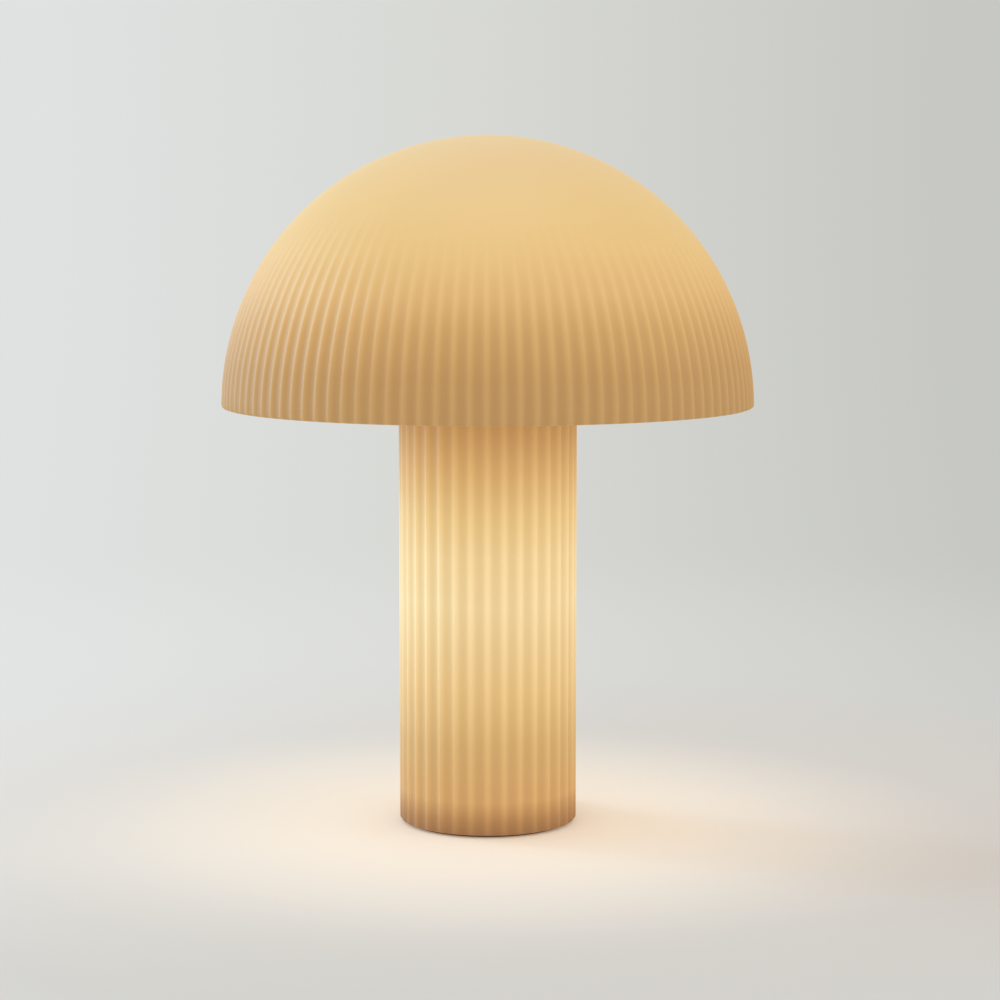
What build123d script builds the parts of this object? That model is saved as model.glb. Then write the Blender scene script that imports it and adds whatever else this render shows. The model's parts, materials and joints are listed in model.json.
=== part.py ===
from build123d import *
import os
from math import cos, pi, radians, sin, sqrt

# A mushroom table lamp, in millimetres. The origin is on the table under the column's axis, +Z is up,
# the front is -Y and the mains inlet faces +Y. A ribbed opal dome rests on the three arms of a spider
# at the top of a ribbed opal column. The column stands on a steel weight, and a screw-base bulb inside
# it lights the column and, through its open top, the dome.

# Shade.
shade_radius = 150.0  # over the rib crests at the rim
shade_rise = 152.0  # rim to crown, outside
shade_wall = 2.4  # behind the grooves between the ribs
shade_ribs = 108
shade_rib_depth = 1.3
fade_start = 12.0  # degrees above the rim where the ribs begin to fade out
fade_end = 50.0  # degrees above the rim where the dome is smooth
crown_latitude = 89.0  # degrees of the last section, a flat dot on the crown
shade_sections = 8  # steps between the rim and that dot
seat_height = 10.6  # seat on the pads above the rim

# Lugs inside the shade's rim that sit on the arms.
lug_width = 14.0
lug_reach = 18.0  # how far a lug stands in from the wall
lug_height = 6.0
seat_depth = 1.2  # groove in the lug's underside
seat_clearance = 0.5  # groove beside the pad, each side

# Column.
column_radius = 50.5  # over the rib crests
column_ribs = 34
column_rib_depth = 1.4
column_wall = 2.3  # behind the grooves
column_top = 241.0  # above the table
column_gap = 1.4  # table to the column's lower edge
column_edge_round = 2.0
web_thickness = 3.0  # the floor inside the column
crest_sharpness = 1.8  # larger makes a rib's crest narrower

# Spider that carries the shade.
flange_thickness = 2.6
flange_width = 5.0
spigot_depth = 7.0
spigot_wall = 2.3
arm_count = 3
first_arm = 90.0  # azimuth in degrees, so one arm points to the back
arm_width = 8.0
arm_height = 6.0
arm_end_gap = 5.0  # arm's tip to the shade's wall
arm_round = 2.4  # corners of an arm's tip
pad_inset = 1.0  # pad's end in from the arm's tip
pad_length = 11.0
pad_width = 5.4
pad_thickness = 1.6
pad_peg_radius = 1.5
pad_peg_depth = 3.0

# Screws. Shanks are plain, a hair smaller than their holes.
screw_radius = 1.5
screw_head_radius = 2.8
screw_head_height = 1.8
screw_slot_width = 0.8
screw_slot_length = 3.8
screw_slot_depth = 0.8
screw_hole_play = 0.2  # radius of a through hole over the shank's
thread_clearance = 0.05
screw_boss_radius = 3.4
screw_boss_height = 20.0
screw_boss_inset = 2.8  # screw's axis in from the bore
spider_screw_length = 10.0
screw_hole_spare = 2.0  # blind hole past the screw's end
screw_lobe = 0.6  # flange's lobe over a screw beyond its boss
cover_screw_length = 7.0
cover_screw_gap = 2.2  # screw heads under the base clear of the foot
cover_screw_azimuths = (0.0, 180.0, 270.0)

# Base.
foot_thickness = 2.0
foot_width = 8.0
foot_inset = 0.8  # foot in from the bore
cover_thickness = 1.5
weight_height = 13.0
bore_clearance = 0.3  # parts that slide into the column's bore
pocket_half_width = 30.5
pocket_front = 9.0  # y of the pocket's front wall
pocket_roof = 2.0
weight_seat = 3.5  # metal left under the column's floor round the stem
washer_room = 1.0  # recess in the weight beside the washer

# Stem, a threaded tube from the weight to the lampholder.
stem_radius = 5.0
stem_bore = 4.0
stem_top = 46.0
stem_clearance = 0.3
nut_thickness = 3.0
nut_flats = 14.0
washer_thickness = 1.5
washer_radius = 11.0
stem_proud = 0.5  # stem's end past its lower nut

# Ports through the column's rear wall, for the mains cord and the dimmer.
port_wall = 4.0
land_depth = 0.7  # flat land below the grooves
land_radius = 7.2  # or half its width at the cord's port
port_clearance = 0.1
pad_half_width = 8.0  # thickening inside the wall
cord_azimuth = 90.0
dimmer_azimuth = 60.0
cord_radius = 3.3  # bore of the grommet
grommet_neck = 5.0  # half widths
grommet_flange = 6.2
grommet_corner = 1.5
grommet_lip = 1.6
lip_room = 1.0  # weight clear of what stands behind a port

# Dimmer.
dimmer_width = 14.0
dimmer_height = 12.0
dimmer_depth = 12.0
dimmer_wall = 1.0
dimmer_front = 1.5
bushing_radius = 3.5
bushing_collar = 4.4
bushing_collar_height = 0.9
bushing_knob_gap = 0.4
dimmer_nut_flats = 10.0
dimmer_nut_thickness = 2.0
shaft_radius = 2.5
running_clearance = 0.06
shaft_flat = 1.9  # flat's distance from the shaft's axis
wiper_radius = 3.9
wiper_thickness = 1.6
wiper_gap = 0.8  # wiper to the bushing's collar
wiper_grip = 0.02
pip_radius = 0.4
pip_height = 0.3
pip_ring = 3.2  # pips' distance from the shaft's axis
board_gap = 0.4  # wiper to the board
board_thickness = 1.0
board_clearance = 0.1
parts_gap = 0.2  # parts on the board to the case's back
switch_x, switch_y = (-5.2, -0.6), (-0.6, 3.4)
capacitor_centre = (2.8, 1.4)
capacitor_radius = 1.9
knob_radius = 6.5
knob_length = 10.0
knob_gap = 0.8  # knob clear of the rib crests
knob_flutes = 20
knob_round = 1.2
knob_rim = 1.5  # plain band below the flutes
flute_radius = 0.7
flute_inset = 0.35  # how far a flute's wall is inside the knob's side
pointer_width = 0.7
pointer_depth = 0.5
pointer_ends = (2.3, 5.2)  # distances from the knob's axis
shaft_in_knob = 6.5
socket_spare = 0.2  # knob's socket past the shaft's end
pin_radius = 0.7
pin_spacing = 6.0
pin_length = 2.0

# Terminal block.
block_size = (17.0, 9.0, 9.4)
block_centre = (-17.0, 24.5)
block_pitch = 8.0
insert_radius = 1.9
insert_bore = 1.0
block_screw_radius = 1.3
block_screw_sink = 0.6  # screw's top below the block's
block_slot_width = 0.4
block_slot_depth = 0.6
block_well_play = 0.1
block_round = 0.8
insert_inset = 0.5  # insert's end in from the block's face

# Leads inside the lamp.
lead_radius = 0.9
lead_offset = 1.5  # from the stem's axis
lead_bend = 3.0
tight_bend = 2.4
lead_in_block = 2.5  # lead's end inside the block
dimmer_lane_gap = 1.25  # the dimmer's leads run this far from the block
lead_lane_gap = 5.5  # the neutral lead runs this far from the block
stem_approach = 6.0  # leads line up with the stem this far from its side

# Lampholder for a bulb with a 27 mm screw cap.
holder_neck_radius = 8.0
holder_neck = 8.0  # engaged on the stem
holder_radius = 20.0
holder_wall = 1.7
holder_floor = 1.5
holder_shoulder = 14.0  # neck's end to the shell's lower edge
holder_corner = 4.0  # sloped corner of the cap
neck_step = 2.0  # neck's upper end below the cap's floor
skirt_clearance = 0.3
core_ledge = 1.7  # how far the cap's ledge reaches under the core
core_clearance = 0.3
floor_slope = 1.0
grub_radius = 1.4
grub_sink = 0.3
grub_height = 2.8  # above the neck's lower end
grub_slot_width = 0.5
grub_slot_depth = 0.8
terminal_height = 4.0
terminal_room = 2.5  # under the terminals
post_size = 5.0  # length and width of a terminal's post
post_hole = 1.0
post_screw_head = 1.9
post_screw_head_height = 1.3
post_screw_slot = 0.6
post_screw_slot_depth = 0.5
post_screw_gap = 0.2  # screw's tip to the lead
core_thickness = 6.0
core_radius = 16.2
core_round = 0.8
core_rest = 4.0  # core's lower face below the cap's upper edge
shell_length = 36.0
shell_bead = 0.8
shell_lip = 1.5
lip_play = 0.6  # lip clear of the sleeve's thread
sleeve_radius = 13.5  # inside its thread crests
sleeve_length = 24.0
sleeve_wall = 0.5
thread_pitch = 3.6
thread_depth = 0.9
contact_rise = 1.0
contact_width = 6.0
contact_strip = 0.5
contact_tail = 9.0  # strip's end from the axis
contact_foot = 4.0  # where the strip leaves the core
contact_knee = 1.0
contact_tip = 3.0
contact_lean = 0.3

# Bulb.
bulb_length = 108.0
globe_radius = 30.0
globe_wall = 1.0
globe_neck = 18.0  # globe's centre to its cut
insulator_edge = 1.0  # insulator's edge in from the cap's thread root
cap_thread_radius = 13.2
cap_wall = 0.6
cap_length = 22.0
cap_rise = 5.0  # bulb's contact to the cap's lower edge
contact_radius = 4.8
contact_height = 1.5
body_wall = 1.7
body_play = 0.2  # body's plug inside the cap
body_step = 0.2  # body's lower edge over the cap's thread
led_board_play = 0.1
led_board_rest = 2.2  # width of the ledge under the board
led_board_hole = 2.0
plug_depth = 8.0  # body inside the cap
led_board_radius = 20.5
led_board_thickness = 1.6
led_board_sink = 2.0  # board's lower face below the globe's cut
led_count = 12
led_ring = 14.0
led_size = (3.5, 2.8, 0.7)
driver_board = (16.0, 1.6)  # width and thickness
driver_ends = (1.0, 4.0)  # board clear of the plug's end and of the lamp board
driver_capacitor = (3.5, 12.0)  # radius and length
driver_capacitor_gap = 0.1
driver_capacitor_rise = 8.0
driver_choke = (6.4, 5.9, 8.0)
driver_choke_gap = 0.1
driver_choke_rise = 10.0

# Places worked out from the sizes above.
groove_radius = column_radius - column_rib_depth
bore_radius = groove_radius - column_wall
sliding_radius = bore_radius - bore_clearance
weight_z = foot_thickness + cover_thickness
web_z = weight_z + weight_height
web_top = web_z + web_thickness
port_z = (weight_z + web_z) / 2
land_face = groove_radius - land_depth
pad_face = land_face - port_wall
foot_outer = bore_radius - foot_inset
foot_inner = foot_outer - foot_width
cover_screw_ring = foot_inner - screw_head_radius - cover_screw_gap

washer_top = web_z - weight_seat
nut_top = washer_top - washer_thickness
nut_bottom = nut_top - nut_thickness
stem_bottom = nut_bottom - stem_proud
upper_nut_z = web_top + washer_thickness
lead_z = (weight_z + stem_bottom) / 2 + lead_radius / 2

flange_top = column_top + flange_thickness
flange_radius = groove_radius - bore_clearance / 3
ring_radius = flange_radius - flange_width
arm_top = column_top + arm_height
pad_top = arm_top + pad_thickness
rim_z = pad_top - seat_height
cavity_radius = shade_radius - shade_rib_depth - shade_wall
cavity_rise = shade_rise - shade_wall
arm_end = cavity_radius - arm_end_gap
pad_end = arm_end - pad_inset
boss_ring = bore_radius - screw_boss_inset
boss_azimuths = [first_arm + 360 / arm_count * (k + 0.5) for k in range(arm_count)]
arm_azimuths = [first_arm + 360 / arm_count * k for k in range(arm_count)]

holder_z = stem_top - holder_neck
holder_inside = stem_top + holder_floor
shell_z = holder_z + holder_shoulder
terminal_z = holder_inside + terminal_room
core_z = terminal_z + terminal_height
cap_edge = core_z + core_rest
core_top = core_z + core_thickness
shell_bore = holder_radius - holder_wall
shell_top = shell_z + shell_length
terminal_gap = 2 * lead_offset + 4.0  # lead's end, at the terminal's face
lead_top = terminal_z + terminal_height / 2

bulb_z = core_top + contact_rise
cap_z = bulb_z + cap_rise
cap_top = cap_z + cap_length
globe_z = bulb_z + bulb_length - globe_radius
neck_z = globe_z - globe_neck
neck_radius = sqrt(globe_radius**2 - globe_neck**2)
led_board_z = neck_z - led_board_sink

case_back = pad_face - dimmer_depth
knob_face = column_radius + knob_gap
knob_end = knob_face + knob_length
shaft_end = knob_face + shaft_in_knob
bushing_end = knob_face - bushing_knob_gap
wiper_front = pad_face - dimmer_front - bushing_collar_height - wiper_gap
wiper_back = wiper_front - wiper_thickness
board_front = wiper_back - board_gap
board_back = board_front - board_thickness

block_low = weight_z + bore_clearance
block_high = block_low + block_size[2]
block_y = (block_centre[1] - block_size[1] / 2, block_centre[1] + block_size[1] / 2)
pole_places = [block_centre[0] + side * block_pitch / 2 for side in (-1, 1)]  # outer pole first
pin_places = [(side * pin_spacing / 2, lead_z - port_z) for side in (1, -1)]  # in the dimmer's x and y


def disc(radius, low, high):
    """A round block on the column's axis between two heights."""
    return extrude(Plane.XY.offset(low) * Circle(radius), high - low)


def ring(outer, inner, low, high):
    """A flat-ended tube on the column's axis between two heights."""
    return extrude(Plane.XY.offset(low) * (Circle(outer) - Circle(inner)), high - low)


def block(x_range, y_range, z_range):
    """A box from its lowest and highest x, y and z."""
    size = [high - low for low, high in (x_range, y_range, z_range)]
    centre = [(high + low) / 2 for low, high in (x_range, y_range, z_range)]
    return Pos(*centre) * Box(*size)


def turned(*outline):
    """A closed outline of (radius, height) points turned about the column's axis."""
    return revolve(make_face(Plane.XZ * Polyline(*outline, close=True)), Axis.Z)


def around(azimuths, radius, piece):
    """Copies of a piece modelled on +X, set out on a ring at these azimuths."""
    return [Rot(0, 0, azimuth) * Pos(radius, 0, 0) * piece for azimuth in azimuths]


def outward(azimuth):
    """The place on the axis at port height whose local Z points out at an azimuth and local Y up."""
    a = radians(azimuth)
    return Plane(origin=(0, 0, port_z), x_dir=(-sin(a), cos(a), 0), z_dir=(cos(a), sin(a), 0)).location


def hexagon(flats, hole, low, high):
    """A hexagon nut on the local Z axis."""
    outline = RegularPolygon(flats / 2, 6, major_radius=False) - Circle(hole)
    return extrude(Plane.XY.offset(low) * outline, high - low)


def screw(length):
    """A pan-head screw on the Z axis, its head above z = 0 and its shank below."""
    head = disc(screw_head_radius, 0, screw_head_height)
    head = fillet(head.edges().group_by(Axis.Z)[-1], screw_head_height * 0.5)
    half_width, half_length = screw_slot_width / 2, screw_slot_length / 2
    depth = (screw_head_height - screw_slot_depth, screw_head_height + 1)
    slot = block((-half_width, half_width), (-half_length, half_length), depth)
    cross = slot + Rot(0, 0, 90) * slot
    return head + disc(screw_radius, -length, 0) - cross


def rib_edges(radius, depth, count):
    """One rib as two curves, groove to crest and crest to groove: a narrow crest in wide hollows."""
    half_pitch = pi / count

    def point(share):
        swell = ((1 + cos(pi * share)) / 2) ** crest_sharpness
        r = radius - depth * (1 - swell)
        angle = -pi / 2 + half_pitch * share
        return (r * cos(angle), r * sin(angle))

    def along(share):
        angle = -pi / 2 + half_pitch * share
        return (-sin(angle), cos(angle))

    spans = ((-1, -0.7, -0.45, -0.2, 0), (0, 0.2, 0.45, 0.7, 1))
    curves = []
    for span in spans:
        ends = [along(span[0]), along(span[-1])]
        curves.append(Spline(*[point(share) for share in span], tangents=ends))
    return curves


def ribbed_wire(radius, depth, count, height):
    """A closed ring of ribs, with a crest at the front."""
    rib = rib_edges(radius, depth, count)
    edges = [edge.rotate(Axis.Z, 360 / count * k) for k in range(count) for edge in rib]
    return Wire(edges).moved(Pos(0, 0, height))


def rib_depth_at(latitude):
    """The shade's rib depth, fading smoothly to a hair between two latitudes."""
    share = min(1, max(0, (latitude - fade_start) / (fade_end - fade_start)))
    return shade_rib_depth * (1 - share * share * (3 - 2 * share))


def dome():
    """The shade's outside as a solid: ribbed sections from the rim to the crown."""
    sections = []
    for step in range(shade_sections + 1):
        latitude = crown_latitude * step / shade_sections
        radius = shade_radius * cos(radians(latitude))
        height = rim_z + shade_rise * sin(radians(latitude))
        sections.append(ribbed_wire(radius, rib_depth_at(latitude), shade_ribs, height))
    return Solid.make_loft(sections, False)


def dome_inside():
    """The shade's inside as a solid: a smooth dome, less the three lugs."""
    steps = [radians(angle) for angle in range(0, 91, 15)]
    points = [(cavity_radius * cos(a), rim_z + cavity_rise * sin(a)) for a in steps]
    curve = Spline(*points, tangents=[(0, 1), (-1, 0)])
    floor = Line((0, rim_z), points[0])
    axis = Line(points[-1], (0, rim_z))
    inside = revolve(make_face(Plane.XZ * (floor + curve + axis)), Axis.Z)
    low = pad_top - seat_depth
    inner = cavity_radius - lug_reach
    body = block((inner, shade_radius), (-lug_width / 2, lug_width / 2), (low, low + lug_height))
    upper_inner_edge = body.edges().group_by(Axis.X)[0].filter_by(Axis.Y).group_by(Axis.Z)[-1]
    body = chamfer(upper_inner_edge, lug_height / 2)
    half_groove = pad_width / 2 + seat_clearance
    groove = block((inner - 1, pad_end + 2.0), (-half_groove, half_groove), (low - 1, pad_top))
    for lug in around(arm_azimuths, 0, body - groove):
        inside -= lug
    return inside


def shade():
    """The opal dome: its outside and inside faces, closed by a flat ring at the rim."""
    outside, inside = dome(), dome_inside()
    faces, mouths = [], []
    for solid in (outside, inside):
        mouth = solid.faces().sort_by(Axis.Z)[0]
        mouths.append(mouth.outer_wire())
        faces += [face for face in solid.faces() if not face.is_same(mouth)]
    rim = Face(mouths[0], [mouths[1]])
    return Solid(Shell([*faces, rim]))


def rounded_square(half, below, low, high):
    """A square block between two heights, or longer below, its corners concentric with the grommet neck's."""
    square = block((-half, half), (-half - below, half), (low, high))
    return fillet(square.edges().filter_by(Axis.Z), grommet_corner + half - grommet_neck)


def port_pads():
    """The two thickenings inside the column's rear wall."""
    low = weight_z + bore_clearance - port_z
    high = web_z - port_z
    pad = block((-pad_half_width, pad_half_width), (low, high), (pad_face, column_radius))
    return [outward(azimuth) * pad for azimuth in (cord_azimuth, dimmer_azimuth)]


def column_inside():
    """The room inside the column, as one tool: bore, less floor, screw bosses and port pads."""
    room = disc(bore_radius, 0, column_top + 1)
    room -= ring(bore_radius + 1, stem_radius + stem_clearance, web_z, web_top)
    boss = disc(screw_boss_radius, column_top - screw_boss_height, column_top + 2)
    boss += block(
        (0, bore_radius - boss_ring + 1),
        (-screw_boss_radius, screw_boss_radius),
        (column_top - screw_boss_height, column_top + 2),
    )
    hole_end = column_top - spider_screw_length - screw_hole_spare
    boss -= disc(screw_radius + thread_clearance, hole_end, column_top + 3)
    for piece in around(boss_azimuths, boss_ring, boss):
        room -= piece
    for pad in port_pads():
        room -= pad
    return room


def column():
    """The ribbed opal tube with a floor, three screw bosses and two flat ports at the back.

    The cord's port is open below, so its grommet slides up into it with the cord on.
    """
    outline = make_face(ribbed_wire(column_radius, column_rib_depth, column_ribs, column_gap))
    tube = extrude(outline, column_top - column_gap, dir=(0, 0, 1))
    envelope = disc(column_radius + 1, column_gap, column_top)
    rounded = disc(column_radius, column_gap, column_top)
    rounded = fillet(rounded.edges().group_by(Axis.Z)[0], column_edge_round)
    tube = tube - (envelope - rounded) - column_inside()
    slot = rounded_square(grommet_neck + port_clearance, port_z, pad_face - 1, column_radius)
    slot += rounded_square(land_radius, port_z, land_face, column_radius + 1)
    port = disc(bushing_radius + port_clearance, pad_face - 1, column_radius)
    port += disc(land_radius, land_face, column_radius + 1)
    tube -= outward(cord_azimuth) * slot
    tube -= outward(dimmer_azimuth) * port
    return tube


def spider():
    """The flange that caps the column, its spigot in the bore and three arms out to the shade's lugs."""
    body = ring(flange_radius, ring_radius, column_top, flange_top)
    notch = screw_boss_radius + bore_clearance
    spigot = ring(sliding_radius, sliding_radius - spigot_wall, column_top - spigot_depth, column_top)
    relief = block((-screw_boss_radius - 1, flange_width), (-notch, notch), (0, column_top))
    for piece in around(boss_azimuths, boss_ring, relief):
        spigot -= piece
    body += spigot
    lobe = disc(screw_boss_radius + screw_lobe, column_top, flange_top)
    arm = block((ring_radius, arm_end), (-arm_width / 2, arm_width / 2), (column_top, arm_top))
    arm = fillet(arm.edges().filter_by(Axis.Z).group_by(Axis.X)[-1], arm_round)
    root_end = flange_radius + arm_width
    root = Polygon(
        (ring_radius, -arm_width), (flange_radius, -arm_width), (root_end, -arm_width / 2),
        (root_end, arm_width / 2), (flange_radius, arm_width), (ring_radius, arm_width), align=None,
    )
    root = extrude(Plane.XY.offset(column_top) * root, flange_thickness, dir=(0, 0, 1))
    for piece in around(arm_azimuths, 0, arm + root):
        body += piece
    for piece in around(boss_azimuths, boss_ring, lobe):
        body += piece
    hole = disc(screw_radius + screw_hole_play, column_top - 1, flange_top + 1)
    for piece in around(boss_azimuths, boss_ring, hole):
        body -= piece
    peg = disc(pad_peg_radius + thread_clearance, arm_top - pad_peg_depth, arm_top + 1)
    for piece in around(arm_azimuths, pad_end - pad_length / 2, peg):
        body -= piece
    return body


def arm_pads():
    """Three soft pads pegged into the arms, which the shade rests on."""
    half = pad_width / 2
    pad = block((pad_end - pad_length, pad_end), (-half, half), (arm_top, pad_top))
    pad = fillet(pad.edges().filter_by(Axis.Z), half * 0.6)
    peg = Pos(pad_end - pad_length / 2, 0, 0) * disc(pad_peg_radius, arm_top - pad_peg_depth, arm_top)
    return around(arm_azimuths, 0, pad + peg)


def spider_screws():
    """Three screws that hold the spider on the column."""
    return around(boss_azimuths, boss_ring, Pos(0, 0, flange_top) * screw(spider_screw_length))


def foot_ring():
    """The rubber ring the lamp stands on."""
    foot = ring(foot_outer, foot_inner, 0, foot_thickness)
    return fillet(foot.edges().group_by(Axis.Z)[0], foot_thickness * 0.3)


def cover_screw_holes(radius, low, high):
    """The ring of holes for the cover's screws."""
    return around(cover_screw_azimuths, cover_screw_ring, disc(radius, low, high))


def base_cover():
    """The steel plate that closes the base from below."""
    plate = disc(sliding_radius, foot_thickness, weight_z)
    for hole in cover_screw_holes(screw_radius + screw_hole_play, 0, weight_z + 1):
        plate -= hole
    return plate


def cover_screws():
    """Screws from below, through the cover into the weight."""
    piece = Pos(0, 0, foot_thickness) * Rot(180, 0, 0) * screw(cover_screw_length)
    return around(cover_screw_azimuths, cover_screw_ring, piece)


def port_rooms():
    """The room that the weight leaves behind the column's rear wall for the grommet and the dimmer."""
    half = pad_half_width + bore_clearance
    rooms = []
    for azimuth, depth in ((cord_azimuth, grommet_lip), (dimmer_azimuth, dimmer_depth)):
        reach = (pad_face - depth - lip_room, column_radius)
        room = block((-half, half), (-weight_height, weight_height), reach)
        rooms.append(outward(azimuth) * room)
    return rooms


def base_weight():
    """The steel weight under the column's floor, with a pocket at the back for the wiring."""
    weight = disc(sliding_radius, weight_z, web_z)
    weight -= disc(washer_radius + washer_room, weight_z - 1, washer_top)
    weight -= disc(stem_radius + stem_clearance, weight_z - 1, web_z + 1)
    half = pocket_half_width
    weight -= block((-half, half), (pocket_front, column_radius), (weight_z - 1, web_z - pocket_roof))
    tapped = cover_screw_holes(screw_radius + thread_clearance, weight_z - 1, weight_z + cover_screw_length)
    for room in port_rooms() + tapped:
        weight -= room
    return weight


def stem_tube():
    """The threaded tube from the weight up to the lampholder, with the leads inside."""
    return ring(stem_radius, stem_bore, stem_bottom, stem_top)


def stem_nuts():
    """The nuts that clamp the weight to the column's floor."""
    hole = stem_radius + thread_clearance
    lower = hexagon(nut_flats, hole, nut_bottom, nut_top)
    upper = hexagon(nut_flats, hole, upper_nut_z, upper_nut_z + nut_thickness)
    return [lower, upper]


def stem_washers():
    """A washer under each nut."""
    hole = stem_radius + stem_clearance
    lower = ring(washer_radius, hole, nut_top, washer_top)
    upper = ring(washer_radius, hole, web_top, upper_nut_z)
    return [lower, upper]


def cord_grommet():
    """The soft bush in the rear port that the mains cord passes through, square so that it can't turn."""
    inner_lip = pad_face - grommet_lip
    outer_lip = land_face + grommet_lip
    body = rounded_square(grommet_neck, 0, pad_face, land_face)
    for low, high, end in ((inner_lip, pad_face, 0), (land_face, outer_lip, -1)):
        lip = rounded_square(grommet_flange, 0, low, high)
        body += chamfer(lip.edges().group_by(Axis.Z)[end], grommet_lip / 3)
    return outward(cord_azimuth) * (body - disc(cord_radius, inner_lip - 1, outer_lip + 1))


def dimmer_case():
    """The dimmer's moulded case behind the wall, open at the back."""
    half_width, half_height = dimmer_width / 2, dimmer_height / 2
    case = block((-half_width, half_width), (-half_height, half_height), (case_back, pad_face))
    case = fillet(case.edges().filter_by(Axis.Z), dimmer_wall)
    inner_x, inner_y = half_width - dimmer_wall, half_height - dimmer_wall
    case -= block((-inner_x, inner_x), (-inner_y, inner_y), (case_back - 1, pad_face - dimmer_front))
    case -= disc(bushing_radius + thread_clearance, case_back, pad_face + 1)
    return outward(dimmer_azimuth) * case


def dimmer_bushing():
    """The threaded bushing that holds the dimmer in its port and carries the shaft."""
    bore = shaft_radius + running_clearance
    inside = pad_face - dimmer_front
    body = ring(bushing_radius, bore, inside, bushing_end)
    body += ring(bushing_collar, bore, inside - bushing_collar_height, inside)
    return outward(dimmer_azimuth) * body


def dimmer_nut():
    """The thin nut outside the wall."""
    hole = bushing_radius + thread_clearance
    nut = hexagon(dimmer_nut_flats, hole, land_face, land_face + dimmer_nut_thickness)
    return outward(dimmer_azimuth) * nut


def shaft_section(radius, flat):
    """A round with one flat on its upper side."""
    return Circle(radius) - Pos(0, flat + radius) * Rectangle(2 * radius, 2 * radius)


def dimmer_shaft():
    """The shaft, round in its bushing and flatted inside the knob."""
    round_part = disc(shaft_radius, wiper_back, knob_face)
    flatted = Plane.XY.offset(knob_face) * shaft_section(shaft_radius, shaft_flat)
    return outward(dimmer_azimuth) * (round_part + extrude(flatted, shaft_end - knob_face))


def dimmer_wiper():
    """The contact disc on the shaft's inner end, with two pips towards the board."""
    body = ring(wiper_radius, shaft_radius + wiper_grip, wiper_back, wiper_front)
    pip = Pos(0, -pip_ring, 0) * disc(pip_radius, wiper_back - pip_height, wiper_back)
    return outward(dimmer_azimuth) * (body + pip + Rot(0, 0, 180) * pip)


def dimmer_board():
    """The board inside the dimmer's case."""
    half_width = dimmer_width / 2 - dimmer_wall - board_clearance
    half_height = dimmer_height / 2 - dimmer_wall - board_clearance
    board = block((-half_width, half_width), (-half_height, half_height), (board_back, board_front))
    return outward(dimmer_azimuth) * board


def dimmer_parts():
    """The parts on the board's back: a switching block and a capacitor."""
    low = case_back + dimmer_wall + parts_gap
    switch = block(switch_x, switch_y, (low, board_back))
    capacitor = Pos(*capacitor_centre, 0) * disc(capacitor_radius, low, board_back)
    return [outward(dimmer_azimuth) * piece for piece in (switch, capacitor)]


def dimmer_back():
    """The plate that closes the case, with holes for the pins."""
    half_width = dimmer_width / 2 - dimmer_wall - thread_clearance
    half_height = dimmer_height / 2 - dimmer_wall - thread_clearance
    thickness = (case_back, case_back + dimmer_wall)
    plate = block((-half_width, half_width), (-half_height, half_height), thickness)
    for x, y in pin_places:
        plate -= Pos(x, y, 0) * disc(pin_radius + thread_clearance, case_back - 1, case_back + 2)
    return outward(dimmer_azimuth) * plate


def dimmer_pins():
    """The two pins from the board out of the back, where the leads join."""
    pin = disc(pin_radius, case_back - pin_length, board_back)
    return [outward(dimmer_azimuth) * Pos(x, y, 0) * pin for x, y in pin_places]


def knob():
    """The fluted knob, with a pointer line on its face."""
    body = disc(knob_radius, knob_face, knob_end)
    body = fillet(body.edges().group_by(Axis.Z)[-1], knob_round)
    socket = shaft_section(shaft_radius + thread_clearance, shaft_flat + thread_clearance)
    body -= extrude(Plane.XY.offset(knob_face) * socket, shaft_in_knob + socket_spare)
    flute = disc(flute_radius, knob_face + knob_rim, knob_end + 1)
    flute = Pos(knob_radius + flute_radius - flute_inset, 0, 0) * flute
    for k in range(knob_flutes):
        body -= Rot(0, 0, 360 / knob_flutes * (k + 0.5)) * flute
    half_pointer = pointer_width / 2
    body -= block((-half_pointer, half_pointer), pointer_ends, (knob_end - pointer_depth, knob_end + 1))
    return outward(dimmer_azimuth) * body


def terminal_block():
    """The two-pole block where the mains cord meets the lamp's leads."""
    half = block_size[0] / 2
    body = block((block_centre[0] - half, block_centre[0] + half), block_y, (block_low, block_high))
    body = fillet(body.edges().filter_by(Axis.Z), block_round)
    for x in pole_places:
        bore = Rot(90, 0, 0) * Cylinder(insert_radius + thread_clearance, block_size[1] + 2)
        bore = Pos(x, block_centre[1], lead_z) * bore
        well = disc(block_screw_radius + block_well_play, lead_z, block_high + 1)
        body -= bore + Pos(x, block_centre[1], 0) * well
    return body


def terminal_inserts():
    """The brass tubes in the terminal block."""
    tube = Cylinder(insert_radius, block_size[1] - 2 * insert_inset) - Cylinder(insert_bore, block_size[1])
    return [Pos(x, block_centre[1], lead_z) * Rot(90, 0, 0) * tube for x in pole_places]


def block_screws():
    """The block's clamping screws, which bear on the inserts."""
    low, high = lead_z + insert_radius + thread_clearance, block_high - block_screw_sink
    half_slot = block_slot_width / 2
    slot = (high - block_slot_depth, high + 1)
    body = disc(block_screw_radius, low, high)
    body -= block((-block_screw_radius, block_screw_radius), (-half_slot, half_slot), slot)
    return [Pos(x, block_centre[1], 0) * body for x in pole_places]


def pin_line(which):
    """Where a dimmer pin ends, and where its line crosses the lane beside the block."""
    x, y = pin_places[which]
    end = (outward(dimmer_azimuth) * Pos(x, y, case_back - pin_length)).position
    inwards = (end.Y - (block_y[0] - dimmer_lane_gap)) / sin(radians(dimmer_azimuth))
    corner = (outward(dimmer_azimuth) * Pos(x, y, case_back - pin_length - inwards)).position
    return tuple(end), tuple(corner)


def lead(points, bends):
    """A lead of straight runs and tangent bends."""
    path = FilletPolyline(*points, radius=bends)
    section = Plane(origin=path @ 0, z_dir=path % 0) * Circle(lead_radius)
    return sweep(section, path=path)


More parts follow.
